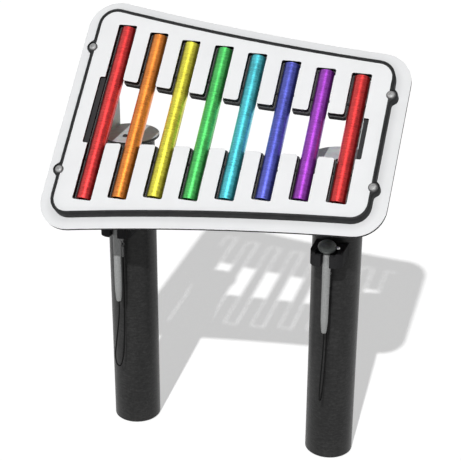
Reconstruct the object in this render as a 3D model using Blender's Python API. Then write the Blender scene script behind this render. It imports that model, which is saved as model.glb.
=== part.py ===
"""Free-standing tubular xylophone: two round posts carry a tilted comb-shaped
sound panel with eight tuned tubes; each post has a fork that holds a tethered
beater.  World frame in metres: +X to the short-tube side, +Y to the back,
+Z up, floor at Z = 0.  Lengths below are written in millimetres."""
import math
import bpy
import bmesh
from mathutils import Matrix, Vector

MM = 0.001
GAP = 0.3                      # air between neighbouring pieces

# ---- posts -------------------------------------------------------------
POST_R = 62.5
POST_H = 820.0
POST_X = 275.4                 # post axes at x = -POST_X and +POST_X
POST_Y = 52.8                  # post axes, behind the middle of the whole part
POST_EDGE = 3.0

# ---- tilted panel ------------------------------------------------------
TILT = math.radians(47.0)
PANEL_Y = POST_Y - 60.8        # middle line of the tubes, at their axis plane
PANEL_Z = 896.2
SHEET_T = 15.5                 # one comb sheet; two of them form the comb block
BASE_TOP = -6.5                # frame plate, flush with the underside of the block
LIP = 14.0                     # lip of the lower sheet over the frame plate
PITCH = 88.4                   # tube spacing
N_TUBES = 8
TUBE_R = 19.0
TUBE_WALL = 2.5
TUBE_L1 = 470.8                # longest tube
OCTAVE_RATIO = 1.4446          # longest to shortest
SCALE_STEPS = (0, 2, 4, 5, 7, 9, 11, 12)     # semitones of a major scale
NODE_FRAC = 0.2242             # still point of a free tube, from its end
SLOT_HALF_W = 24.5
SLOT_END_GAP = 4.5
LEDGE = 2.3                    # the lower sheet's slots are this much smaller all round
HALF_U = 382.5                 # white face, half length
EDGE_A, EDGE_B, EDGE_C = 228.3, -0.1131, 0.73e-4      # half height of the face
TOOTH_A, TOOTH_B, TOOTH_C = 65.6, -0.0532, 0.714e-4   # half height of window
CORNER_R = 38.0
BAND_W = 7.8                   # dark rim round the raised comb sheets
BAND_RAISE = 4.5               # it stands above the white face
BASE_OFF_U, BASE_OFF_V = 43.0, 37.8
BASE_CORNER_R = 76.0
POCKET_U = 347.2               # shallow end pockets in the face
POCKET_DEPTH = 8.0
POCKET_HALF = (90.8, 52.7)     # left, right
POCKET_JOG = 0.8               # the end slots are this much wider at the pockets
PIN_R = 3.0
PIN_SEAT = 12.0
BOLT_U = 387.5
BOLT_V = (169.3, 118.0)        # left pair, right pair
BOLT_R = 11.5
EAR_R = 16.0

# ---- post brackets -----------------------------------------------------
DISC_R = 75.0
DISC_T = 8.0
FIN_U = 332.0
FIN_T = 8.0
FLANGE_U = (324.0, 376.0)
FLANGE_V = (-16.0, 176.0)
FLANGE_T = 8.0
FLANGE_BOLT_U = 353.0
FLANGE_BOLT_V = (16.0, 146.0)

# ---- beater forks and beaters ------------------------------------------
FORK_HALF_W = 41.0
FORK_FRONT = 130.0             # in front of the post axis
FORK_Z0, FORK_Z1 = 589.0, 626.0
SLOT_W = 22.0
BEATER_Y = 108.0               # beater axis in front of the post axis
HEAD_R = 22.7
HEAD_HALF_H = 16.7
HEAD_SEAT = HEAD_HALF_H * math.sqrt(1.0 - (8.5 / 22.7) ** 2)     # flat under the head
HEAD_Z = 635.0
HANDLE_TOP = 643.0
HANDLE_TIP = 399.7
CUP_HALF_W = 25.6
ANCHOR_Y = 72.0                # tether eye in front of the post axis
CORD_D = 4.0

COLOURS = {
    "white_sheet": (0.86, 0.87, 0.88), "black_sheet": (0.02, 0.02, 0.021), "dark_rim": (0.03, 0.032, 0.033),
    "post_black": (0.035, 0.036, 0.038), "fork_black": (0.015, 0.015, 0.016),
    "zinc_steel": (0.45, 0.46, 0.45), "bolt_steel": (0.55, 0.56, 0.56),
    "pin_rubber": (0.02, 0.02, 0.02), "handle_grey": (0.36, 0.37, 0.37),
    "head_grey": (0.16, 0.17, 0.165), "cord_black": (0.03, 0.03, 0.03),
    "tube_red": (0.62, 0.03, 0.035), "tube_orange": (0.80, 0.22, 0.03),
    "tube_yellow": (0.72, 0.62, 0.05), "tube_green": (0.06, 0.48, 0.12),
    "tube_cyan": (0.06, 0.45, 0.52), "tube_blue": (0.10, 0.09, 0.52),
    "tube_purple": (0.30, 0.05, 0.42),
}
TUBE_COLOURS = ("red", "orange", "yellow", "green", "cyan", "blue", "purple", "red")

PANEL = (Matrix.Translation((0.0, PANEL_Y, PANEL_Z)) @ Matrix.Rotation(TILT, 4, "X"))


# ---- helpers -----------------------------------------------------------
def clear_scene():
    for ob in list(bpy.data.objects):
        bpy.data.objects.remove(ob, do_unlink=True)


def material(name, metallic=0.0, rough=0.5):
    mat = bpy.data.materials.get(name)
    if mat is None:
        mat = bpy.data.materials.new(name)
        mat.use_nodes = True
        bsdf = mat.node_tree.nodes["Principled BSDF"]
        key = name if name in COLOURS else "white_sheet"
        bsdf.inputs["Base Color"].default_value = (*COLOURS[key], 1.0)
        bsdf.inputs["Metallic"].default_value = metallic
        bsdf.inputs["Roughness"].default_value = rough
    return mat


def finish(name, bm, mat, matrix=None, origin=None, smooth=35.0):
    """Turn a bmesh in millimetres into a named object in metres."""
    if matrix is not None:
        bmesh.ops.transform(bm, matrix=matrix, verts=bm.verts)
    bmesh.ops.remove_doubles(bm, verts=bm.verts, dist=0.0005)
    bmesh.ops.recalc_face_normals(bm, faces=bm.faces)
    shift = Vector(origin) if origin is not None else Vector((0.0, 0.0, 0.0))
    bmesh.ops.transform(bm, matrix=Matrix.Scale(MM, 4) @ Matrix.Translation(-shift), verts=bm.verts)
    me = bpy.data.meshes.new(name)
    bm.to_mesh(me)
    bm.free()
    me.materials.append(mat)
    if smooth is not None:
        me.shade_smooth()
        me.set_sharp_from_angle(angle=math.radians(smooth))
    ob = bpy.data.objects.new(name, me)
    ob.location = shift * MM
    bpy.context.scene.collection.objects.link(ob)
    return ob


def to_object(bm, name="cutter"):
    bmesh.ops.recalc_face_normals(bm, faces=bm.faces)
    me = bpy.data.meshes.new(name)
    bm.to_mesh(me)
    bm.free()
    ob = bpy.data.objects.new(name, me)
    bpy.context.scene.collection.objects.link(ob)
    return ob


def combine(bm, others, operation):
    """Exact Boolean of a bmesh with several bmeshes, back as a bmesh."""
    base = to_object(bm, "work")
    tools = [to_object(o) for o in others]
    for tool in tools:
        mod = base.modifiers.new("cut", "BOOLEAN")
        mod.operation = operation
        mod.solver = "EXACT"
        mod.object = tool
    graph = bpy.context.evaluated_depsgraph_get()
    me = bpy.data.meshes.new_from_object(base.evaluated_get(graph))
    out = bmesh.new()
    out.from_mesh(me)
    bpy.data.meshes.remove(me)
    for ob in [base] + tools:
        data = ob.data
        bpy.data.objects.remove(ob, do_unlink=True)
        bpy.data.meshes.remove(data)
    bmesh.ops.remove_doubles(out, verts=out.verts, dist=0.001)
    bmesh.ops.dissolve_degenerate(out, dist=0.0005, edges=out.edges)
    return out


def join(parts):
    """One bmesh out of several that do not touch."""
    out = bmesh.new()
    for bm in parts:
        me = bpy.data.meshes.new("tmp")
        bm.to_mesh(me)
        bm.free()
        out.from_mesh(me)
        bpy.data.meshes.remove(me)
    return out


def fillet(points, steps=4):
    """Closed polygon of (x, y, radius, steps) corners with rounded corners."""
    out = []
    n = len(points)
    for i in range(n):
        x, y = points[i][0], points[i][1]
        r = points[i][2] if len(points[i]) > 2 else 0.0
        k = points[i][3] if len(points[i]) > 3 else steps
        if r <= 0.0:
            out.append((x, y))
            continue
        p = Vector((x, y))
        a = (Vector(points[i - 1][:2]) - p).normalized()
        b = (Vector(points[(i + 1) % n][:2]) - p).normalized()
        half = math.acos(max(-1.0, min(1.0, a.dot(b)))) / 2.0
        if half > math.radians(89.5):
            out.append((x, y))
            continue
        centre = p + (a + b).normalized() * (r / math.sin(half))
        s = p + a * (r / math.tan(half))
        e = p + b * (r / math.tan(half))
        a0 = math.atan2(s.y - centre.y, s.x - centre.x)
        a1 = math.atan2(e.y - centre.y, e.x - centre.x)
        d = (a1 - a0 + math.pi) % (2.0 * math.pi) - math.pi
        for j in range(k + 1):
            t = a0 + d * j / k
            out.append((centre.x + r * math.cos(t), centre.y + r * math.sin(t)))
    return out


def plate(outer, holes, z0, z1):
    """Flat plate with holes, from z0 to z1."""
    bm = bmesh.new()
    edges = []
    for loop in [outer] + list(holes):
        vs = [bm.verts.new((x, y, z0)) for x, y in loop]
        edges += [bm.edges.new((vs[i - 1], vs[i])) for i in range(len(vs))]
    bmesh.ops.triangle_fill(bm, use_beauty=True, use_dissolve=False, edges=edges, normal=(0, 0, 1))
    geom = bmesh.ops.extrude_face_region(bm, geom=bm.faces[:])
    verts = [g for g in geom["geom"] if isinstance(g, bmesh.types.BMVert)]
    bmesh.ops.translate(bm, vec=(0, 0, z1 - z0), verts=verts)
    bmesh.ops.recalc_face_normals(bm, faces=bm.faces)
    return bm


def lathe(profile, seg=32, centre=(0.0, 0.0, 0.0), axis="Z"):
    """Closed solid of revolution from a profile of (radius, height)."""
    bm = bmesh.new()
    rings = []
    for r, z in profile:
        if r < 1e-6:
            rings.append([bm.verts.new((0.0, 0.0, z))])
        else:
            rings.append([bm.verts.new((r * math.cos(2 * math.pi * k / seg),
                                        r * math.sin(2 * math.pi * k / seg), z)) for k in range(seg)])
    closed = profile[0][0] > 1e-6 and profile[-1][0] > 1e-6
    pairs = list(zip(rings[:-1], rings[1:])) + ([(rings[-1], rings[0])] if closed else [])
    for a, b in pairs:
        if len(a) == 1 and len(b) == 1:
            continue
        for k in range(seg):
            m = (k + 1) % seg
            if len(a) == 1:
                bm.faces.new((a[0], b[k], b[m]))
            elif len(b) == 1:
                bm.faces.new((a[k], b[0], a[m]))
            else:
                bm.faces.new((a[k], b[k], b[m], a[m]))
    if axis == "X":
        bmesh.ops.rotate(bm, cent=(0, 0, 0), matrix=Matrix.Rotation(math.pi / 2, 3, "Y"), verts=bm.verts)
    elif axis == "Y":
        bmesh.ops.rotate(bm, cent=(0, 0, 0), matrix=Matrix.Rotation(-math.pi / 2, 3, "X"), verts=bm.verts)
    bmesh.ops.translate(bm, vec=centre, verts=bm.verts)
    bmesh.ops.recalc_face_normals(bm, faces=bm.faces)
    return bm


def rod(r, z0, z1, seg=16, centre=(0.0, 0.0, 0.0), axis="Z"):
    return lathe([(0.0, z0), (r, z0), (r, z1), (0.0, z1)], seg, centre, axis)


def torus(major, minor, centre, axis, seg=14, ring=6):
    prof = [(major + minor * math.cos(2 * math.pi * k / ring), minor * math.sin(2 * math.pi * k / ring))
            for k in range(ring)]
    return lathe(prof, seg, centre, axis)


# ---- panel shapes ------------------------------------------------------
def tube_u(i):
    return (i - (N_TUBES - 1) / 2.0) * PITCH


def tube_len(i):
    return TUBE_L1 * OCTAVE_RATIO ** (-SCALE_STEPS[i] / 12.0)


def edge_v(u):
    return EDGE_A + EDGE_B * u + EDGE_C * u * u


def tooth_v(u):
    return TOOTH_A + TOOTH_B * u + TOOTH_C * u * u


def outline(off_u, off_v, radius, n_edge=9, steps=7, side=None):
    """Outline of the face grown by (off_u, off_v).  side(sign) gives extra
    (u, v) points along a short end, listed from its back to its front."""
    hu = HALF_U + off_u
    reach = hu - radius * 1.6
    top = [(u, edge_v(u) + off_v, 0.0) for u in
           [-reach + 2 * reach * k / (n_edge - 1) for k in range(n_edge)]]
    pts = [(-hu, edge_v(-hu) + off_v, radius, steps)] + top + [(hu, edge_v(hu) + off_v, radius, steps)]
    if side:
        pts += [(u, v, 0.0) for u, v in side(1)]
    pts += [(hu, -edge_v(hu) - off_v, radius, steps)] + [(u, -v, 0.0) for u, v, _ in reversed(top)]
    pts += [(-hu, -edge_v(-hu) - off_v, radius, steps)]
    if side:
        pts += [(u, v, 0.0) for u, v in reversed(side(-1))]
    return fillet(pts)


def comb_hole(r_slot, r_tooth, steps, shrink=0.0):
    """Window with eight slots, the opening of a comb sheet."""
    pts = []
    last = N_TUBES - 1
    for sign in (1, -1):
        order = range(N_TUBES) if sign > 0 else range(last, -1, -1)
        for i in order:
            half_w = SLOT_HALF_W - shrink
            u0, u1 = tube_u(i) - half_w, tube_u(i) + half_w
            end = sign * (tube_len(i) / 2.0 + SLOT_END_GAP - shrink)
            a, b = (u0, u1) if sign > 0 else (u1, u0)
            first = (i == 0) if sign > 0 else (i == last)
            final = (i == last) if sign > 0 else (i == 0)
            if not first:
                pts.append((a, sign * (tooth_v(a) - shrink), r_tooth, steps))
            pts.append((a, end, r_slot, steps))
            pts.append((b, end, r_slot, steps))
            if not final:
                pts.append((b, sign * (tooth_v(b) - shrink), r_tooth, steps))
            else:
                half = sign * POCKET_HALF[1 if sign > 0 else 0]
                pts += [(b, half), (b + sign * POCKET_JOG, half), (b + sign * POCKET_JOG, -half), (b, -half)]
    return fillet(pts)


def node_v(i):
    return tube_len(i) * (0.5 - NODE_FRAC)


def pin_cutters(radius, extra=0.0):
    half = SLOT_HALF_W + PIN_SEAT + extra
    return join([rod(radius, -half, half, 8, (tube_u(i), s * node_v(i), 0.0), "X")
                 for i in range(N_TUBES) for s in (1, -1)])


def bolt_places():
    return [(-BOLT_U, BOLT_V[0]), (-BOLT_U, -BOLT_V[0]), (BOLT_U, BOLT_V[1]), (BOLT_U, -BOLT_V[1])]


def flange_bolt_places():
    return [(s * FLANGE_BOLT_U, v) for s in (-1, 1) for v in FLANGE_BOLT_V]


def circle(cx, cy, r, seg=16):
    return [(cx + r * math.cos(2 * math.pi * k / seg), cy + r * math.sin(2 * math.pi * k / seg))
            for k in range(seg)]


def band_side(sign, inset, ear):
    """Points of one short end of the rim, with the two bolt ears."""
    bolt_v = BOLT_V[0] if sign < 0 else BOLT_V[1]
    offs = (-21.0, -18.0, -15.5, -13.5, -10.0, -5.0, 0.0, 5.0, 10.0, 13.5, 15.5, 18.0, 21.0)
    out = []
    for vc in (bolt_v, -bolt_v):
        for t in offs:
            w = BAND_W
            if ear:
                d = abs(t)
                if d <= 13.5:
                    w = BOLT_U - HALF_U + math.sqrt(EAR_R ** 2 - d * d)
                elif d < 21.0:
                    edge = BOLT_U - HALF_U + math.sqrt(EAR_R ** 2 - 13.5 ** 2)
                    f = (21.0 - d) / 7.5
                    w = BAND_W + (edge - BAND_W) * f * f
            out.append((sign * (HALF_U + w - inset), vc - t))
    return out


def make_band():
    """Dark rim: rounded outer edge, ears at the four bolts."""
    def loop(kind):
        if kind == "inner":
            side = lambda s: [(s * (HALF_U + GAP), v) for _, v in band_side(s, 0.0, False)]
            return outline(GAP, GAP, CORNER_R + GAP, side=side)
        inset = kind
        off = BAND_W - inset
        return outline(off, off, CORNER_R + off, side=lambda s: band_side(s, inset, True))
    top, low = SHEET_T + BAND_RAISE, BASE_TOP + GAP
    rings = [(loop("inner"), low), (loop("inner"), top), (loop(4.5), top), (loop(1.6), top - 1.0),
             (loop(0.0), top - 3.2), (loop(0.0), low)]
    bm = bmesh.new()
    vs = [[bm.verts.new((x, y, h)) for x, y in pts] for pts, h in rings]
    n = len(vs[0])
    for a, b in zip(vs, vs[1:] + vs[:1]):
        for k in range(n):
            m = (k + 1) % n
            bm.faces.new((a[k], a[m], b[m], b[k]))
    bmesh.ops.recalc_face_normals(bm, faces=bm.faces)
    # bolt holes, and a round seat for each bolt head level with the face
    bores = [lathe([(0.0, low - 5), (4.3, low - 5), (4.3, SHEET_T), (BOLT_R + 0.5, SHEET_T), (BOLT_R + 0.5, top + 5), (0.0, top + 5)],
                   24, (u, v, 0)) for u, v in bolt_places()]
    return combine(bm, [join(bores)], "DIFFERENCE")


def make_sheets():
    face = material("white_sheet", rough=0.35)
    hole = comb_hole(4.0, 5.0, 2)
    # upper sheet: the white face with shallow end pockets
    up = plate(outline(0, 0, CORNER_R), [hole], GAP / 2, SHEET_T)
    pockets = []
    for sign, half in zip((-1, 1), POCKET_HALF):
        x0, x1 = sorted((sign * POCKET_U, sign * (tube_u(N_TUBES - 1) + 10.0)))
        r0, r1 = (4.0, 0.0) if sign < 0 else (0.0, 4.0)
        pts = fillet([(x0, -half, r0), (x1, -half, r1), (x1, half, r1), (x0, half, r0)], 3)
        pockets.append(plate(pts, [], SHEET_T - POCKET_DEPTH, SHEET_T + 5.0))
    up = combine(up, [join(pockets), pin_cutters(PIN_R + GAP, GAP)], "DIFFERENCE")
    finish("comb_sheet_upper", up, face, PANEL)
    # lower sheet, black: same comb with narrower slots, a lip that rests on the
    # frame plate, and blind holes for the bracket bolts
    inset = lambda d: outline(-LIP - d, -LIP - d, CORNER_R - LIP - d)
    low = plate(outline(0, 0, CORNER_R), [comb_hole(4.0, 5.0, 2, LEDGE)], -SHEET_T, -GAP / 2)
    rebate = plate(outline(6.0, 6.0, CORNER_R + 6.0), [inset(GAP)], -SHEET_T - 5.0, BASE_TOP + GAP)
    screws = join([rod(4.3, -SHEET_T - 5.0, -5.0, 16, (u, v, 0)) for u, v in flange_bolt_places()])
    low = combine(low, [rebate, pin_cutters(PIN_R + GAP, GAP), screws], "DIFFERENCE")
    finish("comb_sheet_lower", low, material("black_sheet", rough=0.5), PANEL)
    # frame plate round the comb block
    z0 = -SHEET_T
    holes = [inset(0.0)] + [circle(u, v, 4.3) for u, v in bolt_places()]
    base = plate(outline(BASE_OFF_U, BASE_OFF_V, BASE_CORNER_R, steps=10), holes, z0, BASE_TOP)
    finish("base_plate", base, face, PANEL)
    finish("edge_band", make_band(), material("dark_rim", rough=0.45), PANEL)
    # domed panel bolts with cap nuts under the base
    steel = material("bolt_steel", 1.0, 0.3)
    t = SHEET_T + GAP
    nut = z0 - GAP
    prof = [(0.0, t + 6.0), (5.0, t + 5.6), (9.4, t + 3.6), (BOLT_R, t + 1.2), (BOLT_R, t),
            (4.0, t), (4.0, nut), (8.0, nut), (8.0, nut - 6.0), (4.5, nut - 10.5), (0.0, nut - 11.5)]
    for k, (u, v) in enumerate(bolt_places()):
        finish("panel_bolt_%d" % (k + 1), lathe(prof, 18, (u, v, 0)), steel, PANEL)
    return z0


# ---- tubes -------------------------------------------------------------
def make_tubes():
    rubber = material("pin_rubber", rough=0.7)
    for i in range(N_TUBES):
        half = tube_len(i) / 2.0
        r0 = TUBE_R - TUBE_WALL
        prof = [(TUBE_R, -half), (TUBE_R, half), (r0, half), (r0, -half)]
        bm = lathe(prof, 36, (0, 0, 0), "Y")
        cut = join([rod(PIN_R + GAP, -30, 30, 8, (0, s * node_v(i), 0), "X") for s in (1, -1)])
        bm = combine(bm, [cut], "DIFFERENCE")
        mat = material("tube_" + TUBE_COLOURS[i], 1.0, 0.3)
        finish("tube_%d" % (i + 1), bm, mat, PANEL @ Matrix.Translation((tube_u(i), 0, 0)), smooth=30.0)
        for s, word in ((1, "back"), (-1, "front")):
            half_l = SLOT_HALF_W + PIN_SEAT
            bm = rod(PIN_R, -half_l, half_l, 8, (tube_u(i), s * node_v(i), 0), "X")
            finish("tube_pin_%d_%s" % (i + 1, word), bm, rubber, PANEL)


# ---- posts and brackets ------------------------------------------------
def panel_yz(v, h):
    return (PANEL_Y + v * math.cos(TILT) - h * math.sin(TILT),
            PANEL_Z + v * math.sin(TILT) + h * math.cos(TILT))


def moved(bm, matrix):
    bmesh.ops.transform(bm, matrix=matrix, verts=bm.verts)
    return bm


def make_posts(base_low):
    plastic = material("post_black", rough=0.55)
    zinc = material("zinc_steel", 0.9, 0.45)
    steel = material("bolt_steel", 1.0, 0.3)
    for sign, word in ((-1, "left"), (1, "right")):
        x = sign * POST_X
        e = POST_EDGE
        prof = [(0.0, 0.0), (POST_R - e, 0.0), (POST_R, e), (POST_R, POST_H - e), (POST_R - e, POST_H), (0.0, POST_H)]
        body = lathe(prof, 48, (x, POST_Y, 0))
        # pilot holes for the fork screw and the top-plate screw
        holes = [rod(3.3, -70.0, -25.0, 8, (x, POST_Y, (FORK_Z0 + FORK_Z1) / 2), "Y"),
                 rod(4.3, POST_H - 45.0, POST_H + 5.0, 8, (x, POST_Y - 30.0, 0))]
        finish("post_" + word, combine(body, [join(holes)], "DIFFERENCE"), plastic)
        # welded bracket: round top plate, upright fin, sloping flange
        disc_z = POST_H + GAP
        disc = lathe([(0.0, disc_z), (DISC_R - 1, disc_z), (DISC_R, disc_z + 1), (DISC_R, disc_z + DISC_T - 1),
                      (DISC_R - 1, disc_z + DISC_T), (0.0, disc_z + DISC_T)], 44, (x, POST_Y, 0))
        f1 = base_low - GAP
        f0 = f1 - FLANGE_T
        u0, u1 = sorted((sign * FLANGE_U[0], sign * FLANGE_U[1]))
        flange = plate(fillet([(u0, FLANGE_V[0], 8), (u1, FLANGE_V[0], 8), (u1, FLANGE_V[1], 8), (u0, FLANGE_V[1], 8)], 3),
                       [circle(sign * FLANGE_BOLT_U, v, 4.3) for v in FLANGE_BOLT_V], f0, f1)
        flange = moved(flange, PANEL)
        mid = (f0 + f1) / 2.0
        y0, y1 = POST_Y - 46.0, POST_Y + 63.0
        low_z = disc_z + DISC_T - 2.0
        def slope_z(y):
            v = (y - PANEL_Y + mid * math.sin(TILT)) / math.cos(TILT)
            return panel_yz(v, mid)[1]
        fin = plate([(y0, low_z), (y1, low_z), (y1, slope_z(y1)), (y0, slope_z(y0))], [], -FIN_T / 2, FIN_T / 2)
        fin = moved(fin, Matrix(((0, 0, 1, sign * FIN_U), (1, 0, 0, 0), (0, 1, 0, 0), (0, 0, 0, 1))))
        bracket = combine(disc, [fin, flange], "UNION")
        bracket = combine(bracket, [rod(4.3, disc_z - 5, disc_z + DISC_T + 5, 16, (x, POST_Y - 30.0, 0))], "DIFFERENCE")
        finish("bracket_" + word, bracket, zinc)
        # screw that holds the top plate on the post
        t = disc_z + DISC_T + GAP
        finish("post_screw_" + word,
               lathe([(0.0, t + 4.5), (4.5, t + 4.0), (7.5, t + 1.0), (7.5, t), (4.0, t),
                      (4.0, POST_H - 40.0), (0.0, POST_H - 44.0)], 12, (x, POST_Y - 30.0, 0)), steel)
        # bolts from below through the flange and the base plate
        h = f0 - GAP
        for k, v in enumerate(FLANGE_BOLT_V):
            bolt = lathe([(0.0, h - 6.0), (5.5, h - 5.2), (8.0, h - 1.5), (8.0, h), (4.0, h),
                          (4.0, -5.8), (0.0, -5.8)], 12, (sign * FLANGE_BOLT_U, v, 0))
            finish("flange_bolt_%s_%d" % (word, k + 1), bolt, steel, PANEL)


# ---- forks, beaters, tethers -------------------------------------------
def make_fork(sign, word):
    x = sign * POST_X
    black = material("fork_black", rough=0.6)
    w, front = FORK_HALF_W, -FORK_FRONT
    plan = fillet([(-w, -30.0, 0), (-w, front, 24, 8), (w, front, 24, 8), (w, -30.0, 0)])
    body = plate(plan, [], FORK_Z0, FORK_Z1)
    body = moved(body, Matrix.Translation((x, POST_Y, 0)))
    cuts = [rod(POST_R + GAP, FORK_Z0 - 5, FORK_Z1 + 5, 48, (x, POST_Y, 0))]
    # handle slot, open to the front
    s = SLOT_W / 2.0
    slot = plate(fillet([(-s, -FORK_FRONT - 5, 0), (s, -FORK_FRONT - 5, 0),
                         (s, -BEATER_Y + s, s - 0.01, 6), (-s, -BEATER_Y + s, s - 0.01, 6)]), [],
                 FORK_Z0 - 5, FORK_Z1 + 5)
    cuts.append(moved(slot, Matrix.Translation((x, POST_Y, 0))))
    # cup for the head, also open to the front
    c = CUP_HALF_W
    cup = plate(fillet([(-c, -FORK_FRONT - 5, 0), (c, -FORK_FRONT - 5, 0),
                        (c, -BEATER_Y + c, c - 0.01, 8), (-c, -BEATER_Y + c, c - 0.01, 8)]), [],
                HEAD_Z - HEAD_SEAT - GAP, FORK_Z1 + 5)
    cuts.append(moved(cup, Matrix.Translation((x, POST_Y, 0))))
    body = combine(body, cuts, "DIFFERENCE")
    zc = (FORK_Z0 + FORK_Z1) / 2.0
    # countersunk screw seat at the end of the slot, and the stud hole below
    holes = [join([rod(3.3, -BEATER_Y + 2.0, -50.0, 10, (x, POST_Y, zc), "Y")]),
             join([rod(6.3, -BEATER_Y + 2.0, -BEATER_Y + SLOT_W / 2 + 5.3, 12, (x, POST_Y, zc), "Y")]),
             join([rod(2.8, FORK_Z0 - 5, FORK_Z0 + 8.3, 10, (x, POST_Y - ANCHOR_Y, 0))])]
    body = combine(body, holes, "DIFFERENCE")
    return finish("beater_fork_" + word, body, black, smooth=30.0)


def make_fork_screw(sign, word):
    x = sign * POST_X
    zc = (FORK_Z0 + FORK_Z1) / 2.0
    seat = -BEATER_Y + SLOT_W / 2 + 5.0
    prof = [(0.0, seat - 4.5), (4.5, seat - 4.2), (6.0, seat - 2.6), (6.0, seat), (3.0, seat), (3.0, -30.0), (0.0, -26.0)]
    finish("fork_screw_" + word, lathe(prof, 12, (x, POST_Y, zc), "Y"), material("bolt_steel", 1.0, 0.3))


def make_beater(sign, word):
    x, y = sign * POST_X, POST_Y - BEATER_Y
    origin = (x, y, HEAD_Z)
    # head: rubber ellipsoid with a blind socket for the handle
    n, low = 9, math.asin(HEAD_SEAT / HEAD_HALF_H)
    prof = [(7.3, -HEAD_SEAT)]
    for k in range(n + 1):
        t = -low + (low + math.pi / 2) * k / n
        prof.append((HEAD_R * math.cos(t) if k < n else 0.0, HEAD_HALF_H * math.sin(t)))
    prof += [(0.0, HANDLE_TOP + GAP - HEAD_Z), (7.3, HANDLE_TOP + GAP - HEAD_Z)]
    head = lathe(prof, 32, origin)
    pin_hole = lambda: rod(2.3, -15.3, 40.0, 8, origin, "X")
    head = combine(head, [pin_hole()], "DIFFERENCE")
    finish("beater_head_" + word, head, material("head_grey", rough=0.6), origin=origin)
    # handle: spigot in the head, shoulder, straight grip, tapered tip
    shape = [(r, z - HEAD_Z) for r, z in (
        (0.0, HANDLE_TOP), (6.2, HANDLE_TOP), (7.0, HANDLE_TOP - 1.0), (7.0, 619.0), (8.5, 618.4), (9.3, 617.0),
        (9.4, 600.0), (9.9, 578.0), (9.8, 555.0), (9.5, 530.0), (9.4, 480.0), (9.1, 437.0), (8.2, 424.0),
        (6.9, 407.0), (6.1, HANDLE_TIP + 1.8), (4.5, HANDLE_TIP), (0.0, HANDLE_TIP))]
    handle = lathe(shape, 20, origin)
    handle = combine(handle, [pin_hole()], "DIFFERENCE")
    finish("beater_handle_" + word, handle, material("handle_grey", rough=0.5), origin=origin)
    # cross pin with a round knob, through head and handle
    knob, r = 27.0, 4.6
    prof = [(0.0, -15.0), (2.0, -15.0), (2.0, knob - r * 0.9)]
    for k in range(1, 6):
        t = math.radians(-64.2 + 154.2 * k / 5)
        prof.append((r * math.cos(t) if k < 5 else 0.0, knob + r * math.sin(t)))
    finish("beater_pin_" + word, lathe(prof, 12, origin, "X"), material("bolt_steel", 1.0, 0.3), origin=origin)


def make_anchor(sign, word):
    x, y = sign * POST_X, POST_Y - ANCHOR_Y
    steel = material("bolt_steel", 1.0, 0.3)
    z = FORK_Z0
    prof = [(0.0, z + 8.0), (2.5, z + 8.0), (2.5, z - GAP), (4.6, z - GAP), (4.8, z - 3.0), (4.6, 566.0), (4.2, 562.0), (1.5, 551.5), (0.0, 551.5)]
    cone = lathe(prof, 12, (x, y, 0))
    ring = torus(4.0, 1.1, (x, y, 548.0), "Y")
    finish("tether_anchor_" + word, combine(cone, [ring], "UNION"), steel)
    sleeve = lathe([(0.0, 511.0), (2.6, 511.0), (3.0, 512.0), (3.0, 537.0), (2.4, 539.5), (0.0, 539.5)], 12, (x, y, 0))
    eye = torus(4.0, 1.1, (x, y, 542.5), "X")
    finish("tether_sleeve_" + word, combine(sleeve, [eye], "UNION"), steel)


def smooth_path(points, spacing):
    """Evenly spaced points on a Catmull-Rom curve through the given points."""
    pts = [Vector(p) for p in points]
    ext = [pts[0] * 2 - pts[1]] + pts + [pts[-1] * 2 - pts[-2]]
    dense = []
    for i in range(1, len(ext) - 2):
        p0, p1, p2, p3 = ext[i - 1], ext[i], ext[i + 1], ext[i + 2]
        for k in range(24):
            t = k / 24.0
            dense.append(0.5 * ((2 * p1) + (p2 - p0) * t + (2 * p0 - 5 * p1 + 4 * p2 - p3) * t * t
                                + (3 * p1 - p0 - 3 * p2 + p3) * t * t * t))
    dense.append(pts[-1])
    total = sum((b - a).length for a, b in zip(dense, dense[1:]))
    count = max(2, int(round(total / spacing)))
    out, want, run = [dense[0]], total / count, 0.0
    for a, b in zip(dense, dense[1:]):
        seg = (b - a).length
        while run + seg >= want * len(out) and len(out) < count:
            out.append(a.lerp(b, (want * len(out) - run) / seg))
        run += seg
    out.append(dense[-1])
    return out, total


TETHER_ROUTE = {
    "left": [(0.0, -ANCHOR_Y, 511.0 - GAP), (0.0, -ANCHOR_Y, 470.0), (-0.3, -73.0, 380.0), (-1.5, -76.0, 290.0),
             (-3.0, -83.0, 225.0), (-8.0, -94.0, 197.0), (-13.0, -106.0, 208.0), (-13.5, -113.0, 240.0),
             (-9.0, -112.0, 280.0), (-3.5, -109.0, 330.0), (0.0, -BEATER_Y, 370.0), (0.0, -BEATER_Y, HANDLE_TIP - GAP)],
    "right": [(0.0, -ANCHOR_Y, 511.0 - GAP), (0.0, -ANCHOR_Y, 470.0), (0.0, -74.0, 380.0), (-0.5, -80.0, 290.0),
              (-1.5, -90.0, 230.0), (-3.0, -101.0, 203.0), (-4.0, -112.0, 207.0), (-3.5, -116.0, 235.0),
              (-2.0, -113.0, 285.0), (-0.5, -109.5, 335.0), (0.0, -BEATER_Y, 370.0), (0.0, -BEATER_Y, HANDLE_TIP - GAP)],
}


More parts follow.
